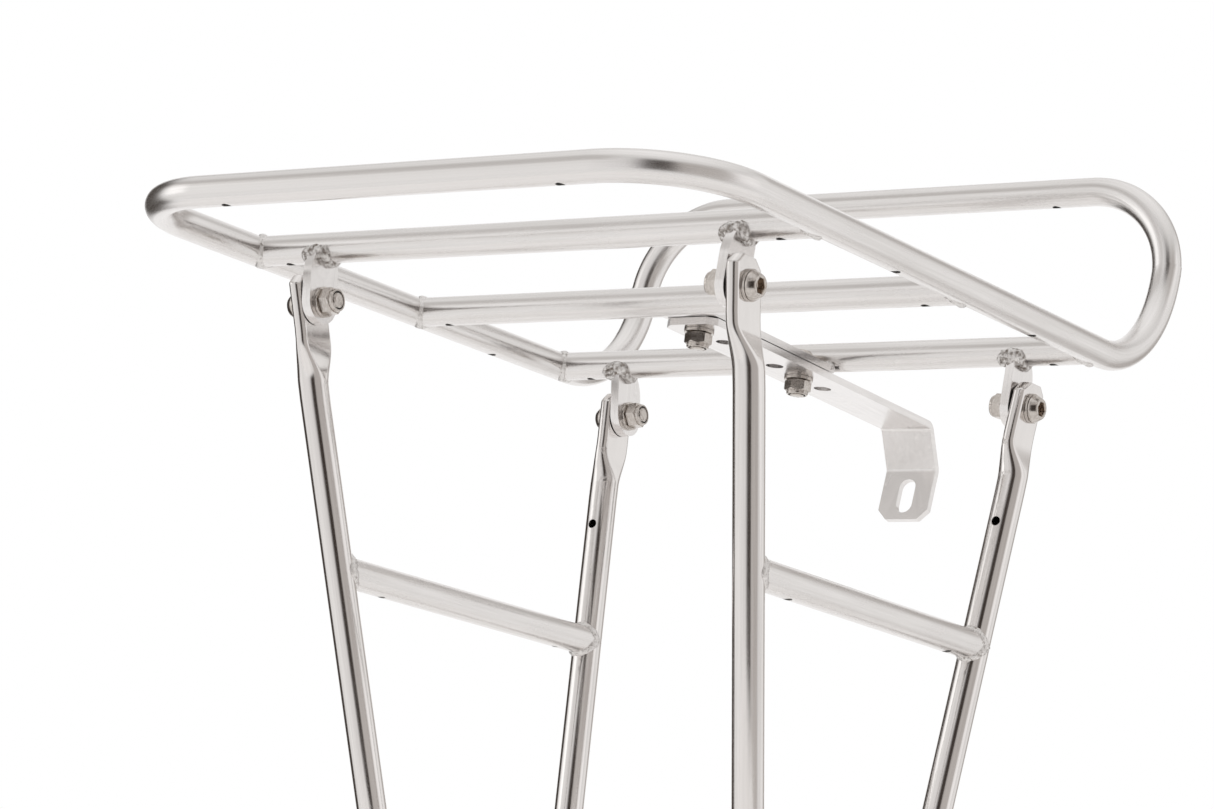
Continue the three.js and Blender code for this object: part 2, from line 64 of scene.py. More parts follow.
TUBE_R = 5.0
TUBE_SIDES = 48
BORE_R = 3.8
VENT_R = 1.5
HALF_WIDTH = 107.0
RAILS = {"rear": 71.7, "middle": 159.5, "front": 246.2}
REAR_BEND = 34.0
HOOP_FOOT_BEND = 44.0
HOOP_TOP_BEND = 32.0
HOOP_FOOT_Y = 290.9
HOOP_Y = 297.7
HOOP_RISE = 68.5
LOOP_SEAM_X = 0.01
REAR_VENT_X = 62.0
RAIL_VENT_X = 93.0
HOOP_VENT_X = 61.0
SIDE_VENT_Y = (116.0, 204.0)

LEAN = 0.084
BOLT_DROP = 18.7
BOLT_Y = {"rear": 69.9, "front": 248.1}
PLATE_T = 3.2
TAB_BEVEL = 0.35
TAB_OUTER_X = 79.8
TAB_HALF_W = 7.0
TAB_TOP_HALF_W = 5.0

LEG_END_T = 4.6
LEG_END_HALF_W = 7.9
KNEE_Z = -40.0
KNEE = {"rear": (83.0, 75.9), "front": (82.1, 245.2)}
EYELET_Z = -350.0
FOOT = {"rear": (56.4, 171.4), "front": (56.4, 203.7)}
TIP_Z = -10.7
FLAT_END_Z = -31.0
PRESS_END_Z = -43.5
LEG_BORE_TOP_Z = -53.0
LEG_END_Z = -322.0
LEG_HOLE_Z = -59.0
LEG_HOLE_R = 1.6
LINK_Z = -100.9
LINK_VENT_Y = (118.0, 217.5)

EYELET_Y = 187.0
EYELET_R = 10.0
FOOT_PLATE_X = 59.2
FOOT_PLATE_T = 4.0
FOOT_BEVEL = 0.4
FOOT_EAR_Z = LEG_END_Z + 12.0
FOOT_VALLEY_Z = LEG_END_Z - 4.0
FOOT_SLOT_TOP_Z = LEG_END_Z + 12.6

STRAP_W = 20.0
STRAP_T = 2.5
STRAP_BEVEL = 0.3
STRAP_TILT = 0.033
STRAP_BOLT_Y = (172.5, 236.5)
STRAP_BOTTOM_Z = -6.75
STRAP_BEND_R = 2.0
STRAP_HOLES = 6
HOLE_PITCH = 16.0
STRAP_HOLE_R = 3.0
STRAP_START = -7.3
FOLD = (138.4, 0.0)
NOSE = (145.2, -13.8)
NOSE_END = (141.4, -32.4)
NOSE_SLOT_R = 3.25
NOSE_SLOT_HALF = 3.25
NOSE_SLOT_AT = 0.52
TONGUE_SHORT = 3.5

BOLT_R = 2.5
BOLT_HOLE_R = 2.75
BOLT_PAST = 0.4
HEAD_R = 4.75
HEAD_H = 2.6
HEAD_FACE_R = 3.45
SOCKET_AF = 4.0
NUT_AF = 8.0
NUT_H = 4.8
NUT_HEX_H = 3.5
WASHER_R = 5.0
WASHER_T = 0.8
THREAD_PITCH = 0.8
THREAD_DEPTH = 0.42


def place(v):
    return (Vector(v) + ROW_ORIGIN) * MM


# ---- mesh helpers ----
class Part:
    """Vertices, faces and a grain coordinate for each vertex, which runs along the metal."""

    def __init__(self):
        self.verts = []
        self.faces = []
        self.grain = []

    def ring(self, points, grains=None):
        """New vertices; gives their numbers."""
        base = len(self.verts)
        self.verts += [Vector(p) for p in points]
        self.grain += [Vector(g) for g in grains or [(0.0, 0.0, 0.0)] * len(points)]
        return range(base, len(self.verts))

    def bridge(self, a, b, flip=False):
        n = len(a)
        for i in range(n):
            j = (i + 1) % n
            quad = (a[i], a[j], b[j], b[i])
            self.faces.append(tuple(reversed(quad)) if flip else quad)

    def join(self, rings, closed=False):
        """Walls from ring to ring, then back to the first ring or a cap over each end."""
        for a, b in zip(rings, rings[1:]):
            self.bridge(a, b)
        if closed:
            self.bridge(rings[-1], rings[0])
        else:
            self.faces += [tuple(rings[0]), tuple(rings[-1])]
        return self

    def take(self, other):
        base = len(self.verts)
        self.verts += other.verts
        self.grain += other.grain
        self.faces += [tuple(i + base for i in face) for face in other.faces]

    def move(self, matrix):
        self.verts = [matrix @ v for v in self.verts]
        return self


def to_mesh(part, name):
    mesh = bpy.data.meshes.new(name)
    mesh.from_pydata([place(v) for v in part.verts], [], part.faces)
    layer = mesh.attributes.new("grain", "FLOAT_VECTOR", "POINT")
    layer.data.foreach_set("vector", [c for g in part.grain for c in g])
    bm = bmesh.new()
    bm.from_mesh(mesh)
    bmesh.ops.recalc_face_normals(bm, faces=bm.faces)
    if bm.calc_volume(signed=True) < 0:
        bmesh.ops.reverse_faces(bm, faces=bm.faces)
    bm.to_mesh(mesh)
    bm.free()
    return mesh


def applied(obj):
    """Makes an object's modifiers part of its mesh."""
    graph = bpy.context.evaluated_depsgraph_get()
    graph.update()
    mesh = bpy.data.meshes.new_from_object(obj.evaluated_get(graph))
    obj.modifiers.clear()
    obj.data = mesh
    return obj


def link(name, data):
    obj = bpy.data.objects.new(name, data)
    bpy.context.scene.collection.objects.link(obj)
    return obj


def solid(name, part):
    return link(name, to_mesh(part, name))


def cut(obj, cutters):
    """Takes closed cutter parts away from obj."""
    for cutter in cutters:
        tool = solid("cutter", cutter)
        modifier = obj.modifiers.new("cut", "BOOLEAN")
        modifier.operation = "DIFFERENCE"
        modifier.solver = "MANIFOLD"
        modifier.object = tool
        applied(obj)
        bpy.data.objects.remove(tool)
    return obj


def bevelled(obj, width, segments=2):
    """Rounds every edge sharper than 40 degrees."""
    modifier = obj.modifiers.new("edge", "BEVEL")
    modifier.width = width * MM
    modifier.segments = segments
    modifier.limit_method = "ANGLE"
    modifier.angle_limit = math.radians(40.0)
    modifier.use_clamp_overlap = True
    modifier.miter_outer = "MITER_ARC"
    return applied(obj)


def finish_piece(obj, name, metal, body="rack", nodes=(), angle=35.0, flat=False):
    """Dresses a piece and hands it to its body; flat pieces keep their big faces flat-shaded."""
    material, slot = metal
    obj.name = name
    obj.data.name = name
    obj.data.materials.clear()
    obj.data.materials.append(material)
    for polygon in obj.data.polygons:
        polygon.material_index = 0
    obj.data.shade_smooth()
    obj.data.set_sharp_from_angle(angle=math.radians(angle))
    if flat:
        modifier = obj.modifiers.new("flat", "WEIGHTED_NORMAL")
        modifier.keep_sharp = True
        modifier.weight = 100
        applied(obj)
        obj.data.name = name
    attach(obj, body)
    if nodes:
        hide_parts(*nodes)


def finish_node(obj, name, metal, body="rack", **settings):
    """Finishes the piece that stands for one node of the CAD."""
    finish_piece(obj, name + "_skin", metal, body, [name], **settings)


def turns(count, offset=0.0):
    """Angles evenly spaced round a full turn."""
    return [2 * math.pi * (k + offset) / count for k in range(count)]


def frame_across(tangent, hint):
    """Two directions square to the tangent and to each other, the first one near the hint."""
    side = hint - tangent * hint.dot(tangent)
    side.normalize()
    return side, tangent.cross(side)


def circle(centre, e1, e2, radius, sides, shift=None):
    points = []
    for angle in turns(sides):
        p = centre + e1 * (radius * math.cos(angle)) + e2 * (radius * math.sin(angle))
        points.append(p + shift(p) if shift else p)
    return points


def cylinder(a, b, radius, sides=32):
    a, b = Vector(a), Vector(b)
    axis = (b - a).normalized()
    e1, e2 = frame_across(axis, Vector((0.3, 0.5, 0.81)))
    part = Part()
    return part.join([part.ring(circle(p, e1, e2, radius, sides)) for p in (a, b)])


def corner_path(corners, radii):
    """Knots (point, tangent) along straight runs joined by round bends."""
    steps = 40
    corners = [Vector(c) for c in corners]
    heads = [(b - a).normalized() for a, b in zip(corners, corners[1:])]
    knots = [(corners[0], heads[0])]
    for corner, before, after, radius in zip(corners[1:], heads, heads[1:], radii):
        turn = before.angle(after)
        reach = radius * math.tan(turn / 2)
        inward = (after - before).normalized()
        centre = corner + inward * math.hypot(reach, radius)
        axis = before.cross(after).normalized()
        start = corner - before * reach - centre
        for k in range(steps + 1):
            spin = Matrix.Rotation(turn * k / steps, 3, axis)
            knots.append((centre + spin @ start, spin @ before))
    knots.append((corners[-1], heads[-1]))
    return knots


def spots_round_tube(offset=0.0):
    """The two grain coordinates that go round a tube, for each corner of its section."""
    return [(TUBE_R * math.cos(a), TUBE_R * math.sin(a)) for a in turns(TUBE_SIDES, offset)]


def tube(knots, ends=(None, None)):
    """A hollow tube along knots; ends are functions that shift an end point to its cope."""
    part = Part()
    spots = spots_round_tube()
    e1 = frame_across(knots[0][1], Vector((0.0, 0.0, 1.0)))[0]
    run = 0.0
    outer, inner = [], []
    last = len(knots) - 1
    for i, (point, tangent) in enumerate(knots):
        if i:
            run += (point - knots[i - 1][0]).length
        e1, e2 = frame_across(tangent, e1)
        shift = ends[0] if i == 0 else ends[1] if i == last else None
        for radius, rings in ((TUBE_R, outer), (BORE_R, inner)):
            points = circle(point, e1, e2, radius, TUBE_SIDES, shift)
            along = [run + (p - point).dot(tangent) for p in points]
            rings.append(part.ring(points, [(a, *spot) for a, spot in zip(along, spots)]))
    for rings, flip in ((outer, False), (inner, True)):
        for a, b in zip(rings, rings[1:]):
            part.bridge(a, b, flip)
    part.bridge(outer[0], inner[0], True)
    part.bridge(outer[-1], inner[-1])
    return part


def cope_reach(point, along, axis_point, axis, radius):
    """How far from point, going along, to leave a cylinder round the given axis."""
    offset = point - axis_point
    across = offset - axis * offset.dot(axis)
    pace = along - axis * along.dot(axis)
    b = across.dot(pace)
    inside = max(b * b - pace.length_squared * (across.length_squared - radius * radius), 0.0)
    return (-b + math.sqrt(inside)) / pace.length_squared


def coped_end(along, axis_point, axis):
    """A shift that takes a tube's end, going along, just into the tube round the given axis."""
    return lambda p: along * cope_reach(p, along, axis_point, axis, TUBE_R - FIT)


# ---- weld beads ----
BEAD_SECTION = 14
BEAD_DRIFT = 0.35
BEAD_UNDERSIDE = 0.8
SCALLOP_PITCH = 1.5
SCALLOP_DEPTH = 0.10
LINK_BEAD = (1.6, 1.15)


def ripple(step, seed):
    """How much a weld bead swells at a step along it."""
    lump = noise.noise(Vector((step * 0.55, seed * 7.3, 1.7)))
    fine = noise.noise(Vector((step * 1.9, seed * 3.1, 9.2)))
    return 1.0 + 0.26 * lump + 0.16 * fine


def bead(points, normals, seed, width, height, closed=False, sizes=None):
    """A lumpy weld run over the given points, its crown along the normals."""
    part = Part()
    n = len(points)
    rings = []
    run = 0.0
    for i in range(n):
        before = points[i - 1] if closed or i else points[i]
        after = points[(i + 1) % n] if closed or i < n - 1 else points[i]
        tangent = (after - before).normalized()
        run += (points[i] - points[i - 1]).length if i else 0.0
        crown = (normals[i] - tangent * normals[i].dot(tangent)).normalized()
        side = tangent.cross(crown)
        swell = ripple(run, seed) * (sizes[i] if sizes else 1.0)
        drift = BEAD_DRIFT * noise.noise(Vector((run * 0.4, 4.4, seed)))
        if not closed:
            edge = min(i, n - 1 - i) / (n - 1)
            swell *= math.sqrt(min(1.0, 0.15 + 6.0 * edge))
        ring = []
        for angle in turns(BEAD_SECTION):
            wave = run * 2 * math.pi / SCALLOP_PITCH + 1.6 * math.cos(angle)
            scallop = 1.0 + SCALLOP_DEPTH * math.cos(wave)
            up = math.sin(angle) * height * (scallop if math.sin(angle) > 0 else BEAD_UNDERSIDE)
            out = width * swell * math.cos(angle) + drift
            ring.append(points[i] + side * out + crown * up * swell)
        rings.append(part.ring(ring, [(p.x, p.y, p.z) for p in ring]))
    return part.join(rings, closed)


def joint_bead(meet, along, axis, seed, width=1.45, height=0.85):
    """The run round the end of a tube that leaves another tube at meet, going along."""
    sunk, lift, steps = 0.12, 1.1, 84
    e1, e2 = frame_across(along, axis)
    points, normals = [], []
    for angle in turns(steps):
        radial = e1 * math.cos(angle) + e2 * math.sin(angle)
        start = meet + radial * TUBE_R
        reach = cope_reach(start, along, meet, axis, TUBE_R)
        p = start + along * (reach + lift * (1.0 - reach / TUBE_R))
        offset = p - meet
        other = (offset - axis * offset.dot(axis)).normalized()
        points.append(p - (radial + other) * sunk)
        normals.append((radial + other).normalized())
    return bead(points, normals, seed, width, height, closed=True)


# ---- materials ----
def node(tree, kind, **settings):
    """A new node; in_ settings are the values of its inputs, the others are its own."""
    made = tree.nodes.new(kind)
    for key, value in settings.items():
        if key.startswith("in_"):
            made.inputs[key[3:].replace("_", " ")].default_value = value
        else:
            setattr(made, key, value)
    return made


def grain_source(tree):
    return node(tree, "ShaderNodeAttribute", attribute_name="grain").outputs["Vector"]


def grain_noise(tree, stretch, scale, detail, rough=0.55):
    """Noise laid out in the metal's own grain coordinate, stretched along it."""
    mapping = node(tree, "ShaderNodeMapping", in_Scale=stretch)
    made = node(tree, "ShaderNodeTexNoise", in_Scale=scale, in_Detail=detail, in_Roughness=rough)
    tree.links.new(grain_source(tree), mapping.inputs["Vector"])
    tree.links.new(mapping.outputs["Vector"], made.inputs["Vector"])
    return made.outputs["Fac"]


def remap(tree, value, *ends, way="LINEAR"):
    """The value, with its first two ends carried to the last two."""
    made = node(tree, "ShaderNodeMapRange", interpolation_type=way)
    for name, end in zip(("From Min", "From Max", "To Min", "To Max"), ends):
        made.inputs[name].default_value = end
    tree.links.new(value, made.inputs["Value"])
    return made.outputs["Result"]


def mixed(tree, factor, a, b):
    """From a to b by the factor; each is a colour or another node's output."""
    made = node(tree, "ShaderNodeMix", data_type="RGBA")
    tree.links.new(factor, made.inputs["Factor"])
    for name, colour in (("A", a), ("B", b)):
        if isinstance(colour, tuple):
            made.inputs[name].default_value = (*colour, 1.0)
        else:
            tree.links.new(colour, made.inputs[name])
    return made.outputs["Result"]


def combined(tree, operation, a, b):
    made = node(tree, "ShaderNodeMath", operation=operation)
    tree.links.new(a, made.inputs[0])
    tree.links.new(b, made.inputs[1])
    return made.outputs["Value"]


def bumped(tree, height, strength, distance):
    made = node(tree, "ShaderNodeBump", in_Strength=strength, in_Distance=distance)
    tree.links.new(height, made.inputs["Height"])
    return made.outputs["Normal"]


def new_material(name, metallic):
    """A material, its node tree and its shader."""
    material = bpy.data.materials.new(name)
    material.use_nodes = True
    tree = material.node_tree
    shader = tree.nodes["Principled BSDF"]
    shader.inputs["Metallic"].default_value = metallic
    return material, tree, shader


# Slot names for the materials that aren't named after one; finish_piece unpacks them but nothing
# uses them.
SLOTS = {"pressed_steel": "tube_steel", "clean_weld": "tube_steel", "rough_weld": "tube_steel"}
# How far the third grain coordinate of a socket wall's vertex is set down, well below any
# other's; it marks where dark shade is painted.
SOCKET_SHADE_SHIFT = 400.0
# The brown-grey painted shade on the walls of the bolts' sockets.
SOCKET_SHADE_COLOUR = (0.46, 0.40, 0.35)
BRUSH_DEPTH = 0.00002
WELD_DEPTH = 0.0004
GRAIN_DEPTH = 0.00005
EVEN = (1.0, 1.0, 1.0)


def steel(name, light, dark, rough, spread, brush, streak=0.02, painted_socket_shade=False):
    """Satin steel: long polishing streaks, faint cloudiness and a fine brush; socket walls can
    get painted shade.
    """
    material, tree, shader = new_material(name, 1.0)
    streaks = grain_noise(tree, (streak, 1.0, 1.0), 0.9, 5.0)
    clouds = grain_noise(tree, (0.06, 0.22, 0.22), 1.0, 3.0)
    fine = grain_noise(tree, (0.12, 5.0, 5.0), 1.6, 4.0, 0.7)
    tone = mixed(tree, remap(tree, streaks, 0.35, 0.68, 0.0, 1.0), light, dark)
    # Paints shade on socket walls, found by their lowered third grain coordinate.
    if painted_socket_shade:
        split = node(tree, "ShaderNodeSeparateXYZ")
        tree.links.new(grain_source(tree), split.inputs[0])
        mask = remap(tree, split.outputs["Z"], -SOCKET_SHADE_SHIFT * 0.6, -SOCKET_SHADE_SHIFT * 0.4, 1.0, 0.0)
        tone = mixed(tree, mask, tone, SOCKET_SHADE_COLOUR)
    tree.links.new(tone, shader.inputs["Base Color"])
    base_gloss = remap(tree, clouds, 0.3, 0.7, rough - spread, rough + spread)
    fine_gloss = remap(tree, fine, 0.3, 0.7, -0.03, 0.03)
    gloss = combined(tree, "ADD", base_gloss, fine_gloss)
    tree.links.new(gloss, shader.inputs["Roughness"])
    tree.links.new(bumped(tree, fine, brush, BRUSH_DEPTH), shader.inputs["Normal"])
    return material, SLOTS.get(name, name)


def weld_metal(name, dark_below, bright_above):
    """Bright weld metal with dark pits between its ripples."""
    material, tree, shader = new_material(name, 1.0)
    lumps = grain_noise(tree, EVEN, 0.75, 4.0)
    pits = grain_noise(tree, EVEN, 2.2, 3.0)
    shade = remap(tree, lumps, dark_below, bright_above, 1.0, 0.0)
    tone = mixed(tree, shade, (0.83, 0.81, 0.795), (0.20, 0.165, 0.14))
    tree.links.new(tone, shader.inputs["Base Color"])
    tree.links.new(remap(tree, pits, 0.3, 0.7, 0.22, 0.48), shader.inputs["Roughness"])
    relief = combined(tree, "ADD", lumps, pits)
    tree.links.new(bumped(tree, relief, 0.7, WELD_DEPTH), shader.inputs["Normal"])
    return material, SLOTS.get(name, name)


def moulded(name, colour, second):
    """Plain moulded nylon with a faint grain."""
    material, tree, shader = new_material(name, 0.0)
    grain = grain_noise(tree, EVEN, 3.0, 3.0)
    tree.links.new(mixed(tree, grain, colour, second), shader.inputs["Base Color"])
    tree.links.new(remap(tree, grain, 0.3, 0.7, 0.5, 0.65), shader.inputs["Roughness"])
    tree.links.new(bumped(tree, grain, 0.2, GRAIN_DEPTH), shader.inputs["Normal"])
    return material, SLOTS.get(name, name)


TUBE_STEEL = steel("tube_steel", (0.84, 0.82, 0.81), (0.76, 0.74, 0.725), 0.25, 0.04, 0.16)
PLATE_STEEL = steel("plate_steel", (0.87, 0.85, 0.84), (0.80, 0.78, 0.77), 0.24, 0.03, 0.15)
PRESSED_STEEL = steel("pressed_steel", (0.83, 0.805, 0.79), (0.74, 0.715, 0.70), 0.14, 0.03, 0.12)
# Fastener steel, with painted shade on the walls of the bolts' sockets.
BOLT_STEEL = steel(
    "fastener_steel", (0.65, 0.61, 0.575), (0.48, 0.44, 0.405), 0.18, 0.05, 0.25, 0.3, True
)
CLEAN_WELD = weld_metal("clean_weld", 0.24, 0.44)
ROUGH_WELD = weld_metal("rough_weld", 0.34, 0.58)
NYLON = moulded("nylon", (0.07, 0.065, 0.06), (0.11, 0.10, 0.095))


# ---- platform ----
def vent_cutter(x, y, z=0.0):
    """A small hole up through a tube's underside."""
    return cylinder((x, y, z - TUBE_R - 1.0), (x, y, z - BORE_R + 1.0), VENT_R)


def rail_cutter(x, y, half):
    """Takes a plate back to just inside the rail at y."""
    return cylinder((x - half, y, 0), (x + half, y, 0), TUBE_R + FIT, TUBE_SIDES)


def add_beads():
    """Every weld run: the neat ones round the tubes, and the rough ones at the tabs."""
    neat, rough = [], []
    seed = 1.0
    for y in RAILS.values():
        for side in SIDES.values():
            meet = Vector((side * HALF_WIDTH, y, 0.0))
            neat.append(joint_bead(meet, Vector((-side, 0, 0)), Vector((0, 1, 0)), seed))
            seed += 1.0
    for side in SIDES.values():
        rear, front = (leg_point(side, end, LINK_Z) for end in ENDS)
        along = (front - rear).normalized()
        neat.append(joint_bead(rear, along, leg_axis(side, "rear"), seed, *LINK_BEAD))
        neat.append(joint_bead(front, -along, leg_axis(side, "front"), seed + 0.5, *LINK_BEAD))
        seed += 1.0
        for end in ENDS:
            rough += tab_beads(side, RAILS[end], seed)
            seed += 1.0
    return neat + tongue_beads() + foot_beads(), rough


def tab_beads(side, rail_y, seed):
    """The weld that joins a tab's top to its rail.

    One run goes round the neck, a fat lump sits at the back of it, and a crater's lip on that.
    """
    centre_x = side * (TAB_OUTER_X - PLATE_T / 2 + BOLT_DROP * math.sin(LEAN) * 0.75)
    centre = Vector((centre_x, rail_y, 0.0))
    x_axis = Vector((1.0, 0.0, 0.0))

    def radial_at(beta):
        return Vector((0.0, math.sin(beta), -math.cos(beta)))

    half_arc, half_width = math.radians(74.0), PLATE_T / 2 + 1.0
    points, normals, sizes = [], [], []
    for turn in turns(80):
        c, s = math.cos(turn), math.sin(turn)
        reach = math.copysign(abs(c) ** 0.4, c) * half_width
        beta = half_arc * math.copysign(abs(s) ** 0.6, s)
        radial = radial_at(beta)
        lean = Vector((c, 0.0, 0.0)) + Vector((0.0, math.cos(beta), math.sin(beta))) * s
        points.append(Vector((centre_x + reach, rail_y, 0.0)) + radial * (TUBE_R + 0.2))
        normals.append((radial * 0.6 + lean).normalized())
        sizes.append(0.80 - 0.18 * s)
    neck = bead(points, normals, seed, width=1.9, height=1.35, closed=True, sizes=sizes)

    back = radial_at(math.radians(-54.0))
    middle = centre + back * (TUBE_R + 0.1)
    step, half_run = 0.4, 4.6
    run = [middle + x_axis * (step * i - half_run) for i in range(24)]
    lump = bead(run, [back] * len(run), seed + 0.3, width=3.1, height=1.8)

    lip_r, lip_at = 1.9, middle - x_axis * 2.3 + back * 1.25
    upward = back.cross(x_axis)
    spokes = [x_axis * math.cos(turn) + upward * math.sin(turn) for turn in turns(30)]
    outward = [(back + spoke * 0.4).normalized() for spoke in spokes]
    lip = [lip_at + spoke * lip_r for spoke in spokes]
    return [neck, lump, bead(lip, outward, seed + 0.6, width=0.9, height=1.1, closed=True)]


def build_loop():
    w, y0, y1, rise, seam = HALF_WIDTH, HOOP_FOOT_Y, HOOP_Y, HOOP_RISE, LOOP_SEAM_X
    corners = [(seam, y1, rise), (w, y1, rise), (w, y0, 0), (w, 0, 0), (-w, 0, 0)]
    corners += [(-w, y0, 0), (-w, y1, rise), (-seam, y1, rise)]
    radii = [HOOP_TOP_BEND, HOOP_FOOT_BEND, REAR_BEND, REAR_BEND, HOOP_FOOT_BEND, HOOP_TOP_BEND]
    part = tube(corner_path(corners, radii))
    length = max(g.x for g in part.grain)
    part.grain = [Vector((abs(g.x - length / 2), g.y, g.z)) for g in part.grain]
    obj = solid("loop", part)
    cutters = []
    for side in SIDES.values():
        cutters.append(vent_cutter(side * REAR_VENT_X, 0.0))
        cutters.append(vent_cutter(side * HOOP_VENT_X, y1, rise))
        cutters.extend(vent_cutter(side * w, y) for y in SIDE_VENT_Y)
    cut(obj, cutters)
    finish_node(obj, "loop_tube", TUBE_STEEL)


def build_rail(name, y):
    ends, knots = [], []
    for side in SIDES.values():
        meet = Vector((side * HALF_WIDTH, y, 0.0))
        knots.append((meet, Vector((1.0, 0.0, 0.0))))
        ends.append(coped_end(Vector((-side, 0, 0)), meet, Vector((0, 1, 0))))
    obj = solid("rail", tube(knots, ends=ends))
    cut(obj, [vent_cutter(side * RAIL_VENT_X, y) for side in SIDES.values()])
    finish_node(obj, "cross_rail_" + name, TUBE_STEEL)


# ---- plates ----
def arc(cy, cz, radius, start, end, steps):
    angles = [start + (end - start) * i / steps for i in range(steps + 1)]
    return [(cy + radius * math.cos(a), cz + radius * math.sin(a)) for a in angles]


def curve_to(a, control, b, steps=8):
    """Points on a curve from a, which is left out, to b."""
    points = []
    for i in range(1, steps + 1):
        t = i / steps
        near, mid, far = (1 - t) ** 2, 2 * t * (1 - t), t * t
        points.append(tuple(near * p + mid * c + far * q for p, c, q in zip(a, control, b)))
    return points


def side_plate(outline, x_low, x_high):
    """A flat plate in a plane of constant x, from an outline of (y, z)."""
    part = Part()
    rings = []
    for x in (x_low, x_high):
        grains = [(z, y, x) for y, z in outline]
        rings.append(part.ring([(x, y, z) for y, z in outline], grains))
    return part.join(rings)


def tab_outline(jog):
    """(y, z) round a tab, measured from its bolt; its top jogs over to the rail."""
    top, knee, shoulder = BOLT_DROP - 1.5, BOLT_DROP - 6.0, BOLT_DROP - 11.0

    def edge(sign):
        start, end = (sign * TAB_HALF_W, shoulder), (jog + sign * TAB_TOP_HALF_W, top)
        return [start] + curve_to(start, (sign * TAB_HALF_W, knee), end)

    return edge(1)[::-1] + arc(0.0, 0.0, TAB_HALF_W, 0.0, -math.pi, 28) + edge(-1)


def bolt_frame(side, end):
    """Origin at the bolt on a tab's outer face; x runs out through the leaning joint."""
    place_at = Matrix.Translation((side * TAB_OUTER_X, BOLT_Y[end], -BOLT_DROP))
    return place_at @ Matrix.Rotation(side * LEAN, 4, "Y")


def bolt_drill(side, end):
    """The bolt hole through a tab and its leg."""
    return cylinder((-14, 0, 0), (14, 0, 0), BOLT_HOLE_R).move(bolt_frame(side, end))


def build_tab(side_name, end):
    side = SIDES[side_name]
    y = RAILS[end]
    near, far = sorted((0.0, -side * PLATE_T))
    part = side_plate(tab_outline(y - BOLT_Y[end]), near, far).move(bolt_frame(side, end))
    obj = solid("tab", part)
    cutters = [rail_cutter(side * TAB_OUTER_X, y, 12), bolt_drill(side, end)]
    bevelled(cut(obj, cutters), TAB_BEVEL)
    finish_node(obj, "tab_%s_%s" % (end, side_name), PLATE_STEEL, flat=True)


# ---- leg frames ----
def leg_point(side, end, z):
    """Where a leg's straight centre line is at height z."""
    t = (z - KNEE_Z) / (EYELET_Z - KNEE_Z)
    x, y = (a + (b - a) * t for a, b in zip(KNEE[end], FOOT[end]))
    return Vector((side * x, y, z))


def leg_axis(side, end):
    return (leg_point(side, end, EYELET_Z) - leg_point(side, end, KNEE_Z)).normalized()


def raw_centre(side, end, z):
    """The centre line, which turns into the leaning joint over the pressed part."""
    if z <= PRESS_END_Z:
        return leg_point(side, end, z)
    straight_x = leg_point(side, end, z).x
    joint_y = leg_point(side, end, PRESS_END_Z).y
    t = (z - PRESS_END_Z) / (-BOLT_DROP - PRESS_END_Z)
    eased = min(max((z - PRESS_END_Z) / (FLAT_END_Z - PRESS_END_Z), 0.0), 1.0)
    flat_x = side * (TAB_OUTER_X + GAP + LEG_END_T / 2 + (z + BOLT_DROP) * math.tan(LEAN))
    x = straight_x + (flat_x - straight_x) * eased
    return Vector((x, joint_y + (BOLT_Y[end] - joint_y) * t, z))


def leg_centre(side, end, z):
    """The centre line, with its two slight bends eased over a few millimetres."""
    offsets = (-2.4, -1.2, 0.0, 1.2, 2.4)
    return sum((raw_centre(side, end, z + dz) for dz in offsets), Vector()) / len(offsets)


def smoothstep(t):
    t = min(max(t, 0.0), 1.0)
    return t * t * (3 - 2 * t)


def leg_sections():
    """(z, half thickness, half width) down a leg: cut tip, pressed flat, then round tube."""
    flat, full = LEG_END_T / 2, LEG_END_HALF_W
    tip = (
        (0.0, flat - 0.2, 4.5),
        (0.15, flat, 4.9),
        (2.7, flat, full - 0.3),
        (3.2, flat, full - 0.05),
        (3.7, flat, full),
    )
    sections = [(TIP_Z - down, a, b) for down, a, b in tip]
    sections += [(z, flat, full) for z in (-20.0, -24.0, -28.0, FLAT_END_Z)]
    steps = 22
    for i in range(1, steps + 1):
        s = smoothstep(i / steps)
        z = FLAT_END_Z + (PRESS_END_Z - FLAT_END_Z) * (i / steps)
        sections.append((z, flat + (TUBE_R - flat) * s, full + (TUBE_R - full) * s))
    sections += [(z, TUBE_R, TUBE_R) for z in (-49.0, -52.0, -70.0, -120.0, -200.0, LEG_END_Z)]
    return sections


def leg_ring(centre, a, b):
    """A stadium whose flats face sideways: a is its half thickness, b its half width."""
    points = []
    for angle in turns(TUBE_SIDES, 0.5):
        c, s = math.cos(angle), math.sin(angle)
        flat = math.copysign(b - a, c)
        points.append(centre + Vector((s * a, flat + c * a, 0.0)))
    return points


def leg_part(side, end):
    """A leg: solid where it is pressed, hollow below."""
    part = Part()
    spots = spots_round_tube(0.5)

    def section(z, a, b):
        points = leg_ring(leg_centre(side, end, z), a, b)
        return part.ring(points, [(-z, *spot) for spot in spots])

    rings = [section(*row) for row in leg_sections()]
    for upper, lower in zip(rings, rings[1:]):
        part.bridge(upper, lower)
    part.faces.append(tuple(rings[0]))
    bore = [section(z, BORE_R, BORE_R) for z in (LEG_BORE_TOP_Z, LEG_END_Z)]
    part.bridge(bore[0], bore[1], True)
    part.faces.append(tuple(bore[0]))
    part.bridge(rings[-1], bore[1])
    return part


def box_part(low, high):
    part = Part()
    corners = ((low[0], low[1]), (high[0], low[1]), (high[0], high[1]), (low[0], high[1]))
    return part.join([part.ring([(x, y, z) for x, y in corners]) for z in (low[2], high[2])])


